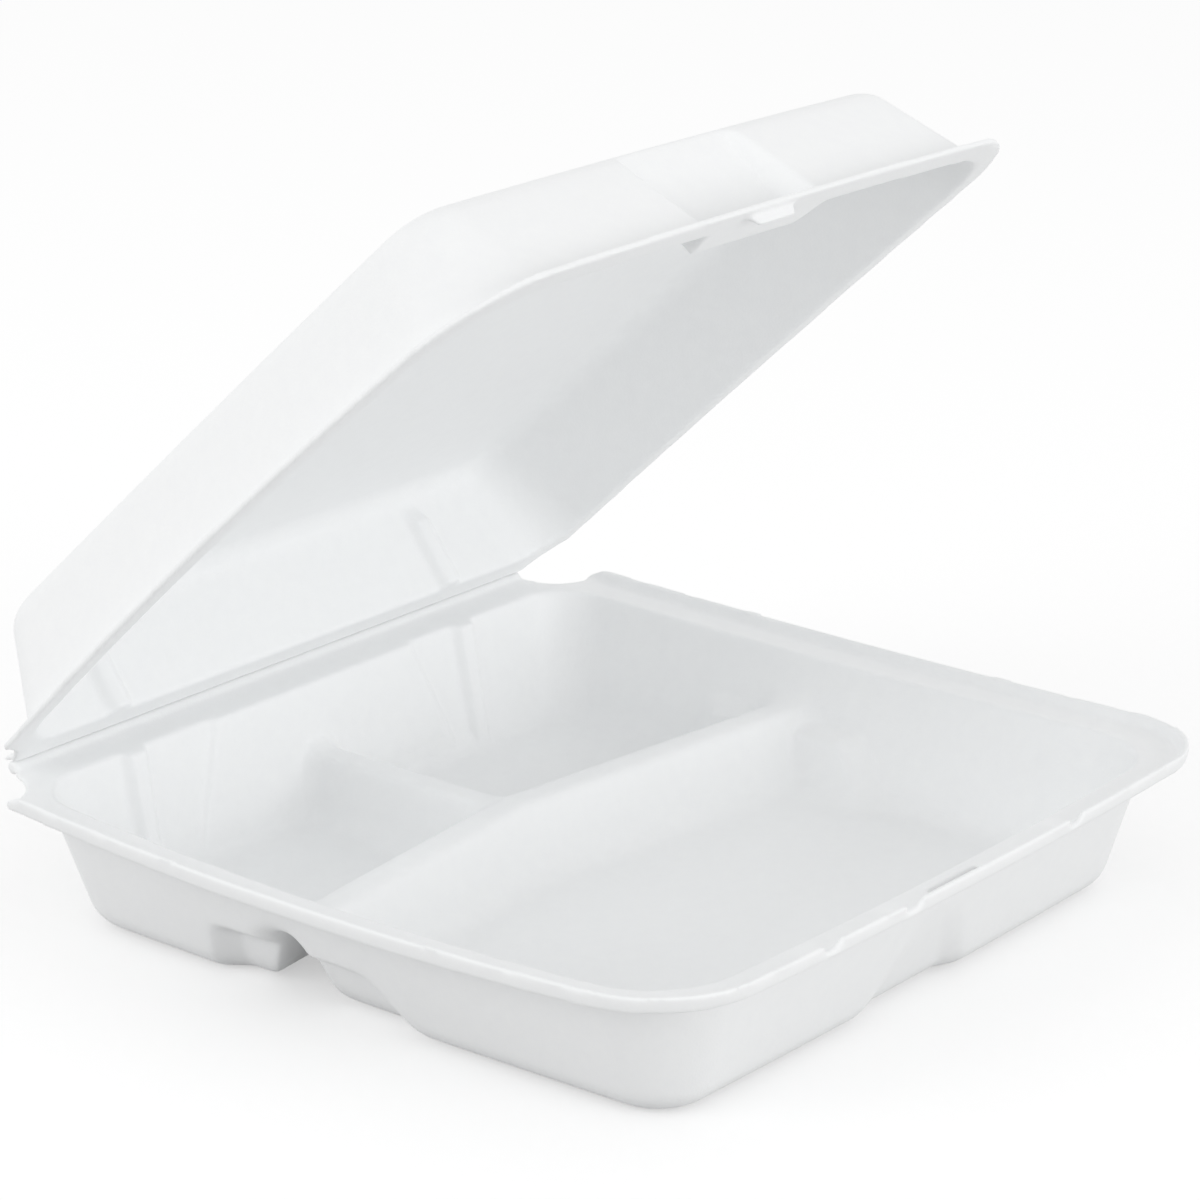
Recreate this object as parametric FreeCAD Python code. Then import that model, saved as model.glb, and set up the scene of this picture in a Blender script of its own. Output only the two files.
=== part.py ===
import FreeCAD, Part
import math
import os

# Foam clamshell container: a three-pocket tray and its hinged lid, pressed from one foam sheet
# Frame: X to the right seen from the front, Y to the hinge, Z up, sizes in millimetres
# The tray stands on Z = 0, and the origin is under the middle of the model with its lid open
os.makedirs("parts", exist_ok=True)
V = FreeCAD.Vector

# Driving dimensions: the foam, the rim of the tray and its feet
WALL = 2.3
RIM_WIDTH = 240.0
RIM_DEPTH = 222.0
TRAY_HEIGHT = 40.6
LIP_HEIGHT = 3.2
LIP_WALL = 2.2
LIP_LEAN = 12.0
FLANGE = 11.5
FLANGE_THICK = 2.0
WALL_LEAN_SIDE = 11.3
WALL_LEAN_FRONT = 8.3
SIDE_BOW = 4.5
FRONT_BOW = 3.5
FOOT_BOW = 1.0
TRAY_SAG = 3.2
RIM_CORNER_FRONT = 30.0
RIM_CORNER_BACK = 17.0
WALL_CORNER_FRONT = 24.0
WALL_CORNER_BACK = 16.0
FOOT_CORNER_FRONT = 12.0
FOOT_CORNER_BACK = 14.0
POCKET_ROUND = 8.0

# Driving dimensions: the dividers between the pockets
DIVIDER_DROP = 19.1
SHORT_DROP = 1.6
DIVIDER_Y = 28.0
DIVIDER_X = -3.8
DIVIDER_TURN = 6.0
BEND_R = 18.0
DIVIDER_CREST = 8.6
CREST_ROUND = 2.8
CREST_UNDER = 2.6
DIVIDER_LEAN = 20.0
DIVIDER_BACK_LEAN = 22.0
SHORT_LEAN = 15.0

# Driving dimensions: panels, ribs and steps pressed into the walls
STEP_IN = 5.4
STEP_TOP = 15.5
STEP_FRONT = -25.0
STEP_BACK = 48.0
STEP_SLOPE = 3.0
STEP_RUN_AHEAD = 14.0
STEP_RUN_BEHIND = 3.0
FRONT_PANEL_X = -1.0
FRONT_PANEL_HALF = 18.5
FRONT_PANEL_TIP = 3.0
FRONT_PANEL_TOP = 27.0
FRONT_PANEL_EDGE = 7.5
FRONT_PANEL_DEPTH = 3.3
BACK_PANEL_HALF = 54.0
BACK_PANEL_LEAN = 0.4
BACK_PANEL_DEPTH = 1.5
RIB_SPACING = 134.0
RIB_SHIFT = -4.0
RIB_HALF = 4.6
RIB_TIP = 2.2
RIB_FLARE = 0.8
RIB_DEPTH = 2.8

# Driving dimensions: hinge and latch
OPEN_ANGLE = 44.4
HINGE_SETBACK = 17.0
HINGE_NOTCH = 15.0
BEAD_R = 2.0
NECK_LONG = 2.6
NECK_THICK = 1.35
GRIP_WALL = 1.75
HINGE_CLEAR = 0.05
SLOT_X = -5.5
SLOT_HALF = 11.0
SLOT_WIDE = 2.6
SLOT_INSET = 4.6
TONGUE_THICK = 1.6
TONGUE_CLEAR = 0.8
TONGUE_DROP = 3.0
TONGUE_TAPER = 2.5
NICKS = ((-64.0, 5.0), (-31.0, 5.0), (42.0, 4.0))
NICK_LEAN = 2.0
NICK_FLOOR = 1.0

# Driving dimensions: the lid
LID_HEIGHT = 33.3
LID_GAP = 0.3
LID_SAG = 2.0
LID_INSET_SIDE = 6.0
LID_INSET_FRONT = 3.0
TOP_INSET_SIDE = 23.0
TOP_INSET_FRONT = 18.5
TOP_INSET_BACK = 13.0
TOP_BOW = 1.5
LID_CORNER_FRONT = 26.0
LID_CORNER_BACK = 17.0
TOP_CORNER = 13.0
TOP_ROUND = 7.0
RECESS_HALF = 22.0
RECESS_EDGE = 3.0
RECESS_LOW = 9.5
RECESS_HIGH = 2.0
LID_RIB_TOP = 23.0
LID_RIB_FADE = 3.0

# Levels and half sizes that follow from them
HALF_X = RIM_WIDTH / 2
HALF_Y = RIM_DEPTH / 2
LEDGE_Z = TRAY_HEIGHT - LIP_HEIGHT
AXIS_Z = LEDGE_Z + LID_GAP / 2
HINGE_HALF = HALF_X - HINGE_SETBACK
CREST_Z = TRAY_HEIGHT - DIVIDER_DROP
LEDGE_IN_X = HALF_X - FLANGE
LEDGE_IN_Y = HALF_Y - FLANGE
FOOT_IN_X = LEDGE_IN_X - WALL_LEAN_SIDE
FOOT_IN_Y = LEDGE_IN_Y - WALL_LEAN_FRONT
LID_LOW = LEDGE_Z + LID_GAP
LID_TOP = LEDGE_Z + LID_HEIGHT
RIBS = (RIB_SHIFT - RIB_SPACING / 2, RIB_SHIFT + RIB_SPACING / 2)

# Tools that cut or trim run past the model by REACH along an axis and by PAST beyond a face
# SINK lets a tool's bend cross the floor instead of only touching it
REACH = 2 * RIM_WIDTH
PAST = 8.0
SINK = 0.1


# Value that runs straight from one level to another
def ramp(z, z_low, z_high, low, high):
    return low + (high - low) * (z - z_low) / (z_high - z_low)


# One closed outline with bowed sides and front, a straight back and tangent corner arcs
def outline(half_x, half_y, bow_x, bow_y, r_front, r_back, z):
    big_x = (half_y ** 2 + bow_x ** 2) / (2 * bow_x)
    big_y = (half_x ** 2 + bow_y ** 2) / (2 * bow_y)
    side_c = V(half_x + bow_x - big_x, 0, z)
    front_c = V(0, -half_y - bow_y + big_y, z)
    gap = front_c - side_c
    span = gap.Length
    reach_side = big_x - r_front
    reach_front = big_y - r_front
    along = (span ** 2 + reach_side ** 2 - reach_front ** 2) / (2 * span)
    across = math.sqrt(reach_side ** 2 - along ** 2)
    unit = gap * (1 / span)
    turned = V(-unit.y, unit.x, 0) * across
    corner_f = side_c + unit * along + turned
    if corner_f.y > 0:
        corner_f = side_c + unit * along - turned
    corner_x = side_c.x + math.sqrt((big_x - r_back) ** 2 - (half_y - r_back) ** 2)
    corner_b = V(corner_x, half_y - r_back, z)
    f_side = side_c + (corner_f - side_c).normalize() * big_x
    f_front = front_c + (corner_f - front_c).normalize() * big_y
    b_side = side_c + (corner_b - side_c).normalize() * big_x
    b_back = V(corner_b.x, half_y, z)
    f_mid = corner_f + ((f_side - corner_f) + (f_front - corner_f)).normalize() * r_front
    b_mid = corner_b + ((b_side - corner_b) + (b_back - corner_b)).normalize() * r_back

    def flip(p):
        return V(-p.x, p.y, p.z)

    edges = [
        Part.Arc(f_side, V(half_x + bow_x, 0, z), b_side).toShape(),
        Part.Arc(b_side, b_mid, b_back).toShape(),
        Part.LineSegment(b_back, flip(b_back)).toShape(),
        Part.Arc(flip(b_back), flip(b_mid), flip(b_side)).toShape(),
        Part.Arc(flip(b_side), V(-half_x - bow_x, 0, z), flip(f_side)).toShape(),
        Part.Arc(flip(f_side), flip(f_mid), flip(f_front)).toShape(),
        Part.Arc(flip(f_front), V(0, -half_y - bow_y, z), f_front).toShape(),
        Part.Arc(f_front, f_mid, f_side).toShape(),
    ]
    return Part.Wire(edges)


# Straight-sided solid between two outlines
def between(low, high):
    return Part.makeLoft([low, high], True, True)


# Solid between two levels that dip towards the middle of the sides, each by its own sag
def dished(low, high, sag, low_sag=None):
    low_sag = sag if low_sag is None else low_sag
    stretch = 1.25
    y = stretch * HALF_Y
    high_end = high + sag * (stretch ** 2 - 1)
    low_end = low + low_sag * (stretch ** 2 - 1)
    up = Part.Arc(V(-REACH, -y, high_end), V(-REACH, 0, high - sag), V(-REACH, y, high_end))
    down = Part.Arc(V(-REACH, y, low_end), V(-REACH, 0, low - low_sag), V(-REACH, -y, low_end))
    back = Part.LineSegment(V(-REACH, y, high_end), V(-REACH, y, low_end))
    front = Part.LineSegment(V(-REACH, -y, low_end), V(-REACH, -y, high_end))
    wire = Part.Wire([up.toShape(), back.toShape(), down.toShape(), front.toShape()])
    return Part.Face(wire).extrude(V(2 * REACH, 0, 0))


# Prism from a polygon, swept along a vector
def prism(points, sweep):
    return Part.Face(Part.makePolygon(points + [points[0]])).extrude(sweep)


# Flat polygon at a level, for the tools that press panels and steps into the walls
def ring(points, z):
    return Part.makePolygon([V(x, y, z) for x, y in points + [points[0]]])


# Tool that presses a panel or rib into the front wall (side -1) or the back wall (side 1)
# Each row is a level, the wall's place, the depth, half the pressed face and half its foot
def press(side, x, rows, t):
    rings = []
    for z, wall, depth, face_half, foot_half in rows:
        face = side * (wall - depth)
        wall = side * wall
        face_half = face_half - t / 2
        foot_half = foot_half - t / 2
        points = [(x - foot_half, wall), (x - face_half, face), (x + face_half, face), (x + foot_half, wall)]
        points = points + [(x + foot_half, side * REACH), (x - foot_half, side * REACH)]
        rings.append(ring(points, z))
    return Part.makeLoft(rings, True, True)


# Tapered block of the tray's hollow, grown outwards by t
def tray_outline(z, t):
    half_x = ramp(z, 0, LEDGE_Z, FOOT_IN_X, LEDGE_IN_X) + t
    half_y = ramp(z, 0, LEDGE_Z, FOOT_IN_Y, LEDGE_IN_Y) + t
    bow_x = ramp(z, 0, LEDGE_Z, FOOT_BOW, SIDE_BOW)
    bow_y = ramp(z, 0, LEDGE_Z, FOOT_BOW, FRONT_BOW)
    r_front = ramp(z, 0, LEDGE_Z, FOOT_CORNER_FRONT, WALL_CORNER_FRONT) + t
    r_back = ramp(z, 0, LEDGE_Z, FOOT_CORNER_BACK, WALL_CORNER_BACK) + t
    return outline(half_x, half_y, bow_x, bow_y, r_front, r_back, z)


# Places of the tray's walls at a level, on the middle of each side
def tray_side_x(z):
    return ramp(z, 0, LEDGE_Z, FOOT_IN_X + FOOT_BOW, LEDGE_IN_X + SIDE_BOW)


def tray_front_y(z):
    return ramp(z, 0, LEDGE_Z, FOOT_IN_Y + FOOT_BOW, LEDGE_IN_Y + FRONT_BOW)


def tray_back_y(z):
    return ramp(z, 0, LEDGE_Z, FOOT_IN_Y, LEDGE_IN_Y)


# Half of a divider's section: slope, crest rounding and flat, narrowed by t for the foam's outside
def bar_half(side, lean, t, top, r):
    lean = math.radians(lean)
    half = DIVIDER_CREST / 2 - t * (1 - math.sin(lean)) / math.cos(lean)
    turn = r * math.tan((math.pi / 2 - lean) / 2)
    flat = V(side * (half - turn), 0, top)
    slope = V(side * (half + turn * math.sin(lean)), 0, top - turn * math.cos(lean))
    middle_angle = (math.pi / 2 - lean) / 2
    middle = V(flat.x + side * r * math.sin(middle_angle), 0, top - r + r * math.cos(middle_angle))
    foot = V(side * (half + (top + PAST) * math.tan(lean)), 0, -PAST)
    return flat, middle, slope, foot


def bar(t, crest_z, lean_low, lean_high):
    r = CREST_ROUND if t == 0 else CREST_UNDER
    a, b, c, d = bar_half(-1, lean_low, t, crest_z - t, r)
    e, f, g, h = bar_half(1, lean_high, t, crest_z - t, r)
    edges = [
        Part.LineSegment(d, c).toShape(),
        Part.Arc(c, b, a).toShape(),
        Part.LineSegment(a, e).toShape(),
        Part.Arc(e, f, g).toShape(),
        Part.LineSegment(g, h).toShape(),
        Part.LineSegment(h, d).toShape(),
    ]
    return Part.Face(Part.Wire(edges))


# The long divider runs forwards from a bend, where the short one meets it, to both side walls
def long_bar(t):
    section = bar(t, CREST_Z, DIVIDER_LEAN, DIVIDER_BACK_LEAN)
    section.rotate(V(0, 0, 0), V(0, 0, 1), 90)
    section.translate(V(DIVIDER_X, DIVIDER_Y, 0))
    centre = V(DIVIDER_X, DIVIDER_Y - BEND_R, 0)
    turn = math.radians(DIVIDER_TURN)
    section.rotate(centre, V(0, 0, 1), DIVIDER_TURN)
    left = section.extrude(V(-math.cos(turn), -math.sin(turn), 0) * REACH)
    bend = section.revolve(centre, V(0, 0, 1), -2 * DIVIDER_TURN)
    section.rotate(centre, V(0, 0, 1), -2 * DIVIDER_TURN)
    right = section.extrude(V(math.cos(turn), -math.sin(turn), 0) * REACH)
    return left.fuse(bend).fuse(right).removeSplitter()


# The three pockets: the block, less the long divider across it and the short one behind that
def pockets(t):
    block = between(tray_outline(WALL - t, t), tray_outline(TRAY_HEIGHT + PAST, t))
    short_bar = bar(t, CREST_Z - SHORT_DROP, SHORT_LEAN, SHORT_LEAN)
    short_bar.translate(V(DIVIDER_X, DIVIDER_Y, 0))
    return block.cut(long_bar(t).fuse(short_bar.extrude(V(0, HALF_Y, 0))))


# Radius of the bend at the foot of the walls, which is a little wider outside the foam
def foot_round(t):
    return POCKET_ROUND if t == 0 else 1.19 * POCKET_ROUND


# Rounds the pocket corners beside the dividers, then the foot of every pocket
def soften(form, t):
    level = 0.01
    corners = []
    for edge in form.Edges:
        box = edge.BoundBox
        middle = box.Center
        in_bend = middle.y < DIVIDER_Y and abs(middle.x - DIVIDER_X) < POCKET_ROUND
        if box.ZMin < WALL - t + level and 1.5 * WALL < box.ZMax < TRAY_HEIGHT and not in_bend:
            corners.append(edge)
    form = form.makeFillet(POCKET_ROUND, corners)
    feet = [edge for edge in form.Edges if edge.BoundBox.ZMax < WALL - t + level]
    return form.makeFillet(foot_round(t), feet)


# Place of a wall's skin at a level, with the bend at its foot, for the tools that press it in
def skin(wall, z, t):
    lean = (wall(LEDGE_Z) - wall(0)) / LEDGE_Z
    r = foot_round(t)
    middle_z = WALL - t + r - SINK
    middle = wall(middle_z) + t - r * math.sqrt(1 + lean ** 2)
    below = middle_z - z
    if below < r * lean / math.sqrt(1 + lean ** 2):
        return wall(z) + t
    return middle + math.sqrt(max(r ** 2 - below ** 2, 0))


# Levels through the bend at the foot, from under the floor to the straight wall
def foot_levels(t):
    r = foot_round(t)
    middle_z = WALL - t + r - SINK
    return [-PAST] + [middle_z - r * math.cos(math.radians(angle)) for angle in range(0, 90, 15)]


# Steps beside the divider ends, where the side walls stand in by STEP_IN up to STEP_TOP
def side_step(t, side):
    top = STEP_TOP - t
    slope = 1.3 * STEP_IN
    rings = []
    for z in foot_levels(t) + [top, top + STEP_SLOPE]:
        wall = skin(tray_side_x, z, t)
        face = wall - (STEP_IN if z <= top else 0)
        near = STEP_FRONT + t + STEP_RUN_AHEAD * z / STEP_TOP
        far = STEP_BACK - t - STEP_RUN_BEHIND * z / STEP_TOP
        points = [(wall, near), (face, near + slope), (face, far - slope), (wall, far)]
        points = points + [(REACH, far), (REACH, near)]
        rings.append(ring([(side * x, y) for x, y in points], z))
    return Part.makeLoft(rings, True, True)


# The tray's hollow with everything pressed into its walls, grown outwards by t
def tray_hollow(t):
    form = soften(pockets(t), t)
    top = TRAY_HEIGHT + PAST
    front_rows = []
    for z in foot_levels(t) + [1.2 * FRONT_PANEL_TOP]:
        depth = ramp(max(z, 0), 0, FRONT_PANEL_TOP, FRONT_PANEL_DEPTH, 0)
        half = ramp(max(z, 0), 0, FRONT_PANEL_TOP, FRONT_PANEL_HALF, FRONT_PANEL_TIP)
        front_rows.append((z, skin(tray_front_y, z, t), depth, half, half + FRONT_PANEL_EDGE))
    back_rows = []
    for z in (-PAST, top):
        half = BACK_PANEL_HALF - BACK_PANEL_LEAN * z
        back_rows.append((z, tray_back_y(z) + t, BACK_PANEL_DEPTH, half, half + BACK_PANEL_DEPTH))
    tools = [side_step(t, 1), side_step(t, -1)]
    tools.append(press(-1, FRONT_PANEL_X, front_rows, t))
    tools.append(press(1, 0, back_rows, t))
    for x in RIBS:
        rows = [(0, tray_back_y(0) + t, RIB_DEPTH, RIB_TIP - RIB_FLARE / 2, RIB_HALF - RIB_FLARE),
                (top, tray_back_y(top) + t, RIB_DEPTH, RIB_TIP + RIB_FLARE / 2, RIB_HALF + RIB_FLARE)]
        tools.append(press(1, x, rows, t))
    for tool in tools:
        form = form.cut(tool)
    return form


# Round notches that set the ends of the hinge off from the rim corners
def hinge_notches(solid):
    for side in (-1, 1):
        centre = V(side * (HINGE_HALF + HINGE_NOTCH + 1), HALF_Y + 1, 0)
        solid = solid.cut(Part.makeCylinder(HINGE_NOTCH, 2 * TRAY_HEIGHT, centre))
    return solid


# Rim of the tray: a ledge outside the walls and a raised lip that dies out before the hinge
def rim_outline(grow, z):
    r_front = RIM_CORNER_FRONT + grow
    r_back = RIM_CORNER_BACK + grow
    return outline(HALF_X + grow, HALF_Y + grow, SIDE_BOW, FRONT_BOW, r_front, r_back, z)


def lip_grow(z):
    return (z - TRAY_HEIGHT) * math.tan(math.radians(LIP_LEAN))


def tray_rim():
    low = LEDGE_Z - PAST
    high = TRAY_HEIGHT + PAST
    thin = FLANGE_THICK / 4
    skirt = between(rim_outline(lip_grow(low), low), rim_outline(lip_grow(high), high))
    skirt = skirt.common(dished(LEDGE_Z - FLANGE_THICK + thin, TRAY_HEIGHT, TRAY_SAG, TRAY_SAG + thin))
    skirt = skirt.cut(Part.makeBox(2 * REACH, REACH, REACH, V(-REACH, HALF_Y - BEAD_R, 0)))
    inner_low = rim_outline(lip_grow(low) - LIP_WALL, low)
    inner_high = rim_outline(lip_grow(high) - LIP_WALL, high)
    hollow = between(inner_low, inner_high)
    hollow = hollow.common(dished(LEDGE_Z, high, TRAY_SAG))
    lip_end = HALF_Y - 0.87 * HINGE_NOTCH
    fade = 3.2 * LIP_HEIGHT
    top = 1.03 * TRAY_HEIGHT
    end = prism([V(-REACH, lip_end - fade, top), V(-REACH, lip_end, LEDGE_Z - thin),
                 V(-REACH, REACH, LEDGE_Z - thin), V(-REACH, REACH, top)], V(2 * REACH, 0, 0))
    end = end.common(dished(LEDGE_Z, high, TRAY_SAG))
    return hinge_notches(skirt.cut(hollow).cut(end))


# Latch at the front: a slot in the ledge for the lid's tongue, and nicks in the lip
SLOT_Y = -(HALF_Y + FRONT_BOW) + SLOT_INSET


def latch_cuts():
    cuts = [Part.makeBox(2 * SLOT_HALF, SLOT_WIDE, 2 * PAST, V(SLOT_X - SLOT_HALF, SLOT_Y, LEDGE_Z - PAST))]
    front = -(HALF_Y + PAST)
    low = LEDGE_Z + NICK_FLOOR
    high = 1.03 * TRAY_HEIGHT
    for x, wide in NICKS:
        half = wide / 2
        corners = [V(x - half - NICK_LEAN, front, high), V(x - half, front, low),
                   V(x + half, front, low), V(x + half + NICK_LEAN, front, high)]
        cuts.append(prism(corners, V(0, 1.5 * PAST, 0)))
    return cuts


# Hinge: the flexing line is a thin bead along the tray, and the lid closes round it
def tray_hinge():
    bead = Part.makeCylinder(BEAD_R, 2 * HINGE_HALF, V(-HINGE_HALF, HALF_Y, AXIS_Z), V(1, 0, 0))
    neck_place = V(-HINGE_HALF, HALF_Y - BEAD_R - NECK_LONG, LEDGE_Z - NECK_THICK)
    neck = Part.makeBox(2 * HINGE_HALF, NECK_LONG + 0.8 * BEAD_R, NECK_THICK, neck_place)
    return bead.fuse(neck)


tray = tray_hollow(WALL).common(dished(-REACH, LEDGE_Z, TRAY_SAG))
tray = tray.fuse(tray_rim()).fuse(tray_hinge())
tray = tray.cut(tray_hollow(0.0))
for piece in latch_cuts():
    tray = tray.cut(piece)
tray = tray.removeSplitter()


# Lid, made closed over the tray: its dome runs from the rim up to the flat top
def lid_ramp(z, low, high):
    return ramp(z, LID_LOW, LID_TOP - WALL, low, high)


def lid_front_y(z):
    return lid_ramp(z, LEDGE_IN_Y + FRONT_BOW, HALF_Y - TOP_INSET_FRONT - WALL)


def lid_back_y(z):
    return lid_ramp(z, LEDGE_IN_Y, HALF_Y - TOP_INSET_BACK - WALL)


def lid_outline(z, t):
    bow_x = lid_ramp(z, SIDE_BOW, TOP_BOW)
    bow_y = lid_ramp(z, FRONT_BOW, TOP_BOW)
    front = lid_front_y(z) - bow_y + t
    back = lid_back_y(z) + t
    half_x = lid_ramp(z, LEDGE_IN_X, HALF_X - TOP_INSET_SIDE - WALL) + t
    r_front = lid_ramp(z, LID_CORNER_FRONT, TOP_CORNER) + t
    r_back = lid_ramp(z, LID_CORNER_BACK, TOP_CORNER) + t
    wire = outline(half_x, (front + back) / 2, bow_x, bow_y, r_front, r_back, z)
    wire.translate(V(0, (back - front) / 2, 0))
    return wire


def lid_hollow(t):
    low = LID_LOW - PAST
    top = LID_TOP - WALL + t
    level = 0.01
    form = between(lid_outline(low, t), lid_outline(top, t))
    top_edges = [edge for edge in form.Edges if edge.BoundBox.ZMin > top - level]
    form = form.makeFillet(TOP_ROUND + t, top_edges)
    below = low - WALL
    above = LID_TOP + WALL
    foot = RECESS_HALF + RECESS_EDGE
    rows = [(z, lid_front_y(z) + t, lid_ramp(z, RECESS_LOW, RECESS_HIGH), RECESS_HALF, foot)
            for z in (below, above)]
    form = form.cut(press(-1, 0, rows, t))
    rib_end = LID_LOW + LID_RIB_TOP
    rows = [(z, lid_back_y(z) + t, depth, RIB_TIP, RIB_HALF)
            for z, depth in ((below, RIB_DEPTH), (rib_end - LID_RIB_FADE, RIB_DEPTH),
                             (rib_end + LID_RIB_FADE, -RIB_DEPTH / 6))]
    for x in RIBS:
        form = form.cut(press(1, x, rows, t))
    return form


# Flat rim of the lid, which lies inside the tray's lip when closed
def lid_rim():
    front = HALF_Y - LID_INSET_FRONT
    back = HALF_Y - BEAD_R
    half_x = HALF_X - LID_INSET_SIDE
    half_y = (front + back) / 2
    r_back = RIM_CORNER_BACK - LID_INSET_SIDE / 3
    low, high = [outline(half_x, half_y, SIDE_BOW, FRONT_BOW, RIM_CORNER_FRONT, r_back, z)
                 for z in (LID_LOW - PAST, LID_TOP)]
    plan = between(low, high)
    plan.translate(V(0, (back - front) / 2, 0))
    plan = plan.common(dished(LID_LOW, LID_LOW + FLANGE_THICK, -LID_SAG))
    return hinge_notches(plan)


# Lid's side of the hinge: a hollow strip that wraps the upper front of the bead
def lid_hinge():
    grip = Part.makeCylinder(BEAD_R + GRIP_WALL, 2 * HINGE_HALF, V(-HINGE_HALF, HALF_Y, AXIS_Z), V(1, 0, 0))
    wide = 10 * BEAD_R
    keep = prism([V(-REACH, HALF_Y, AXIS_Z), V(-REACH, HALF_Y - wide, AXIS_Z + BEAD_R / 4),
                  V(-REACH, HALF_Y - wide, AXIS_Z + wide), V(-REACH, HALF_Y + 0.45 * wide, AXIS_Z + wide)],
                 V(2 * REACH, 0, 0))
    return grip.common(keep)


# Tongue at the lid's front edge, which pushes through the slot in the ledge
def lid_tongue():
    y = SLOT_Y + (SLOT_WIDE - TONGUE_THICK) / 2
    top_half = SLOT_HALF - TONGUE_CLEAR
    low_half = top_half - TONGUE_TAPER
    high = LID_LOW + FLANGE_THICK / 2
    low = LID_LOW - TONGUE_DROP
    return prism([V(SLOT_X - top_half, y, high), V(SLOT_X - low_half, y, low),
                  V(SLOT_X + low_half, y, low), V(SLOT_X + top_half, y, high)], V(0, TONGUE_THICK, 0))


lid = lid_hollow(WALL).common(dished(LID_LOW, LID_TOP + PAST, -LID_SAG))
lid = lid.fuse(lid_rim()).fuse(lid_hinge()).fuse(lid_tongue())
lid = lid.cut(lid_hollow(0.0))
lid = lid.cut(Part.makeCylinder(BEAD_R + HINGE_CLEAR, 2 * REACH, V(-REACH, HALF_Y, AXIS_Z), V(1, 0, 0)))
lid = lid.removeSplitter()
lid.rotate(V(0, HALF_Y, AXIS_Z), V(1, 0, 0), -OPEN_ANGLE)

# The origin goes under the middle of the model, and each piece is written as one solid
box = tray.optimalBoundingBox(False, False).united(lid.optimalBoundingBox(False, False))
centre_y = (box.YMin + box.YMax) / 2
print("size", round(box.XLength, 2), round(box.YLength, 2), round(box.ZMax, 2))
for name, shape in (("tray", tray), ("lid", lid)):
    shape.translate(V(0, -centre_y, 0))
    solid = shape.Solids[0]
    solid.exportStep("parts/%s.step" % name)
    print(name, "solids", len(shape.Solids), "valid", shape.isValid(), "cm3", round(solid.Volume / 1000, 1))
print("hinge axis at Y", round(HALF_Y - centre_y, 3), "Z", round(AXIS_Z, 3))
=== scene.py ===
from math import radians

import bpy
from mathutils import Matrix, Vector


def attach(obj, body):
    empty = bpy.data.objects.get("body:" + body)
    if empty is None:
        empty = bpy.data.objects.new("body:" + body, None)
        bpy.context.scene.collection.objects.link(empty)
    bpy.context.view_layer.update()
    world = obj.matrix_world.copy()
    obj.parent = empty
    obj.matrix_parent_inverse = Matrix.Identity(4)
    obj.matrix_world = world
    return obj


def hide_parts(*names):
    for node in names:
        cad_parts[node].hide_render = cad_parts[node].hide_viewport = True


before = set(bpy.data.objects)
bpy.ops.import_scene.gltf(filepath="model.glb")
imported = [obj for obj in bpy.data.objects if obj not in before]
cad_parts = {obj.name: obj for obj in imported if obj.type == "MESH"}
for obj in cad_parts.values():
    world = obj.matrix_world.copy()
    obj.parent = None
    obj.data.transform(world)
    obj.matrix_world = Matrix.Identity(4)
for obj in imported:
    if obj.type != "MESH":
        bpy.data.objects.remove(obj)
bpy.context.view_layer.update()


# The container is pressed from one sheet of foamed polystyrene, a white closed-cell foam about
# 2 mm thick. The heated sheet keeps a thin smooth skin over its cells, and the mould leaves it
# satin, with a faint mottle where the cells lie closer or further apart.
def linear(hex_colour):
    channels = [int(hex_colour[i:i + 2], 16) / 255 for i in (0, 2, 4)]
    return [c / 12.92 if c <= 0.04045 else ((c + 0.055) / 1.055) ** 2.4 for c in channels] + [1.0]


def add_node(tree, kind, settings, links):
    node = tree.nodes.new(kind)
    for key, value in settings.items():
        if key in node.inputs:
            node.inputs[key].default_value = value
        else:
            setattr(node, key, value)
    for socket, source in links.items():
        tree.links.new(source, node.inputs[socket])
    return node


def new_material(name):
    material = bpy.data.materials.new(name)
    material.use_nodes = True
    tree = material.node_tree
    for node in list(tree.nodes):
        tree.nodes.remove(node)
    return material, tree


CELL = 0.0007        # foam cells are 0.3 mm, drawn as 0.7 mm so that they show
CELL_DEEP = 0.0001   # the skin dips 0.1 mm between cells
MOTTLE = 0.004       # patches of denser and looser foam, 4 mm across
MOTTLE_RELIEF = 1.5  # height of the patches beside that of the cells
ROUGH_LEAST = 0.38   # roughness of the satin skin where it is smoothest
ROUGH_SPREAD = 0.15  # and how much rougher it gets

foam, tree = new_material("expanded_polystyrene_sheet")
place = add_node(tree, "ShaderNodeTexCoord", {}, {})
cells = add_node(tree, "ShaderNodeTexVoronoi", {"Scale": 1 / CELL, "Randomness": 1.0},
                 {"Vector": place.outputs["Object"]})
mottle = add_node(tree, "ShaderNodeTexNoise", {"Scale": 1 / MOTTLE, "Detail": 4.0, "Roughness": 0.6},
                  {"Vector": place.outputs["Object"]})
colour = add_node(tree, "ShaderNodeMix", {"data_type": "RGBA"}, {"Factor": mottle.outputs["Fac"]})
colour.inputs[6].default_value = linear("F7F8F9")
colour.inputs[7].default_value = linear("FCFDFD")
skin = add_node(tree, "ShaderNodeMath", {"operation": "MULTIPLY_ADD"}, {0: mottle.outputs["Fac"]})
skin.inputs[1].default_value = ROUGH_SPREAD
skin.inputs[2].default_value = ROUGH_LEAST
relief = add_node(tree, "ShaderNodeMath", {"operation": "MULTIPLY_ADD"},
                  {0: mottle.outputs["Fac"], 2: cells.outputs["Distance"]})
relief.inputs[1].default_value = MOTTLE_RELIEF
bump = add_node(tree, "ShaderNodeBump", {"Strength": 0.25, "Distance": CELL_DEEP},
                {"Height": relief.outputs["Value"]})
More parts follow.
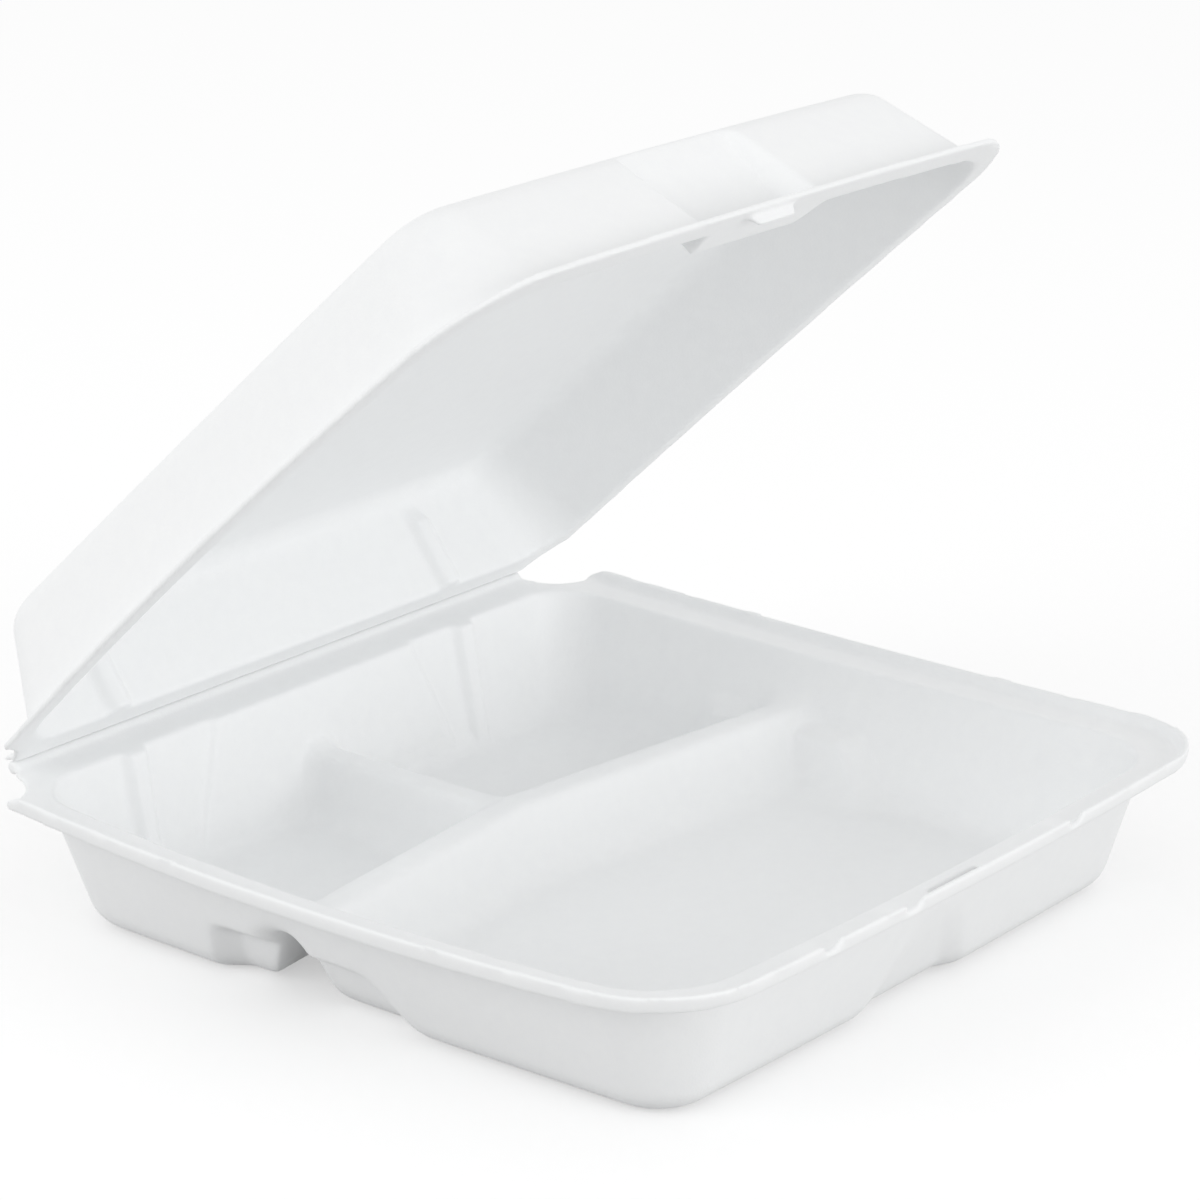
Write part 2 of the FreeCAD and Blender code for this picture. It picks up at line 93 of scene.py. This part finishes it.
shader = add_node(tree, "ShaderNodeBsdfPrincipled",
                  {"IOR": 1.5, "Specular IOR Level": 0.4},
                  {"Base Color": colour.outputs[2], "Roughness": skin.outputs["Value"],
                   "Normal": bump.outputs["Normal"]})
add_node(tree, "ShaderNodeOutputMaterial", {}, {"Surface": shader.outputs["BSDF"]})

# The tray is the base with its three pockets, pressed from the foam sheet. The mould can't draw a
# sharp edge in foam, so the true form is taken from the frame and every bend, the lip, the dividers
# and the pressed panels are softened a little.
FOAM_GRAIN = 0.0007      # size of the small steps that the softened form is rebuilt from
SKIN_ROOM = 0.00012      # each face is drawn in by this much, so that the closed rims don't touch
MERGE = 0.00001          # the CAD mesh is loose triangles, joined where they meet
SOFT_ROUNDS = 14         # rounds of smoothing over neighbouring steps
TRIANGLES = 190000       # most triangles in each softened piece


def soften_node(name):
    bpy.ops.object.select_all(action="DESELECT")
    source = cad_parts[name]
    piece = bpy.data.objects.new(name + "_foam", source.data.copy())
    bpy.context.scene.collection.objects.link(piece)
    bpy.context.view_layer.objects.active = piece
    piece.select_set(True)
    bpy.ops.object.mode_set(mode="EDIT")
    bpy.ops.mesh.select_all(action="SELECT")
    bpy.ops.mesh.remove_doubles(threshold=MERGE)
    bpy.ops.object.mode_set(mode="OBJECT")
    rebuild = piece.modifiers.new("rebuild", "REMESH")
    rebuild.mode = "VOXEL"
    rebuild.voxel_size = FOAM_GRAIN
    bpy.ops.object.modifier_apply(modifier="rebuild")
    smooth = piece.modifiers.new("soften", "SMOOTH")
    smooth.factor = 0.5
    smooth.iterations = SOFT_ROUNDS
    bpy.ops.object.modifier_apply(modifier="soften")
    draw_in = piece.modifiers.new("draw in", "DISPLACE")
    draw_in.mid_level = 0.0
    draw_in.strength = -SKIN_ROOM
    bpy.ops.object.modifier_apply(modifier="draw in")
    thin = piece.modifiers.new("thin", "DECIMATE")
    thin.ratio = min(1.0, TRIANGLES / (2 * len(piece.data.polygons)))
    bpy.ops.object.modifier_apply(modifier="thin")
    piece.data.materials.clear()
    piece.data.materials.append(foam)
    piece.data.polygons.foreach_set("use_smooth", [True] * len(piece.data.polygons))
    piece.data.update()
    return piece


tray = soften_node("tray")
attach(tray, "tray")
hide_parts("tray")

# The lid is the domed cover, pressed from the same foam sheet as the tray, with two ribs in its
# back wall, a recess in its front wall and a tongue that closes into the tray's slot.
lid = soften_node("lid")
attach(lid, "lid")
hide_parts("lid")

# The floor is a plain white sheet, which shows white to the camera and keeps the soft shadow
# that the container casts on it.
FLOOR_SIZE = 12.0
FLOOR_GLOW = 0.46    # brings the grey paper up to white for the camera
bpy.ops.object.select_all(action="DESELECT")
bpy.ops.mesh.primitive_plane_add(size=FLOOR_SIZE, location=(0, 0, 0))
floor = bpy.context.object
floor.name = "floor"
white, tree = new_material("white_paper_floor")
path = add_node(tree, "ShaderNodeLightPath", {}, {})
seen = add_node(tree, "ShaderNodeMath", {"operation": "MAXIMUM"},
                {0: path.outputs["Is Camera Ray"], 1: path.outputs["Is Glossy Ray"]})
seen = add_node(tree, "ShaderNodeMath", {"operation": "MAXIMUM"},
                {0: seen.outputs["Value"], 1: path.outputs["Is Transmission Ray"]})
paper = add_node(tree, "ShaderNodeBsdfDiffuse", {"Color": linear("CECECE")}, {})
glow = add_node(tree, "ShaderNodeEmission", {"Color": linear("FFFFFF"), "Strength": FLOOR_GLOW}, {})
both = add_node(tree, "ShaderNodeAddShader", {},
                {0: paper.outputs["BSDF"], 1: glow.outputs["Emission"]})
mix = add_node(tree, "ShaderNodeMixShader", {},
               {0: seen.outputs["Value"], 1: paper.outputs["BSDF"], 2: both.outputs["Shader"]})
add_node(tree, "ShaderNodeOutputMaterial", {}, {"Surface": mix.outputs["Shader"]})
floor.data.materials.append(white)

# Soft studio light: a white surround gives most of it, a large soft lamp in front lights the
# pockets and the inside of the lid, and a weaker one behind on the left lights the lid's wall.
world = bpy.data.worlds.new("studio")
bpy.context.scene.world = world
world.use_nodes = True
tree = world.node_tree
for node in list(tree.nodes):
    tree.nodes.remove(node)
path = add_node(tree, "ShaderNodeLightPath", {}, {})
seen = add_node(tree, "ShaderNodeMath", {"operation": "MAXIMUM"},
                {0: path.outputs["Is Camera Ray"], 1: path.outputs["Is Glossy Ray"]})
seen = add_node(tree, "ShaderNodeMath", {"operation": "MAXIMUM"},
                {0: seen.outputs["Value"], 1: path.outputs["Is Transmission Ray"]})
fill = add_node(tree, "ShaderNodeBackground", {"Color": linear("FFFFFF"), "Strength": 0.78}, {})
back = add_node(tree, "ShaderNodeBackground", {"Color": linear("FFFFFF"), "Strength": 1.0}, {})
mix = add_node(tree, "ShaderNodeMixShader", {},
               {0: seen.outputs["Value"], 1: fill.outputs["Background"], 2: back.outputs["Background"]})
add_node(tree, "ShaderNodeOutputWorld", {}, {"Surface": mix.outputs["Shader"]})

LAMPS = (("key", (0.3, -2.1, 0.35), 1.3, 15.0), ("left", (-1.8, 0.7, 0.8), 1.2, 9.0))
LAMP_AIM = Vector((0, 0, 0.08))
for name, place, size, power in LAMPS:
    lamp = bpy.data.lights.new(name, "AREA")
    lamp.size = size
    lamp.energy = power
    lamp_object = bpy.data.objects.new(name, lamp)
    bpy.context.scene.collection.objects.link(lamp_object)
    lamp_object.location = place
    aim = LAMP_AIM - Vector(place)
    lamp_object.rotation_euler = aim.to_track_quat("-Z", "Y").to_euler()

# The camera stands at the photograph's viewing angle: left of the front, a little above, far
# away with a long lens, and tilted by under two degrees.
CAMERA_PLACE = (-0.8688, -0.6414, 0.4462)
CAMERA_TURN = -53.51
CAMERA_DOWN = 18.69
CAMERA_ROLL = 1.84
CAMERA_LENS = 135.48
camera_data = bpy.data.cameras.new("camera")
camera_data.lens = CAMERA_LENS
camera_data.sensor_width = 36.0
camera_data.clip_end = 50.0
camera = bpy.data.objects.new("camera", camera_data)
bpy.context.scene.collection.objects.link(camera)
camera.matrix_world = (Matrix.Translation(CAMERA_PLACE) @ Matrix.Rotation(radians(CAMERA_TURN), 4, "Z")
                       @ Matrix.Rotation(radians(90 - CAMERA_DOWN), 4, "X")
                       @ Matrix.Rotation(radians(CAMERA_ROLL), 4, "Z"))
bpy.context.scene.camera = camera
bpy.context.scene.view_settings.view_transform = "Standard"
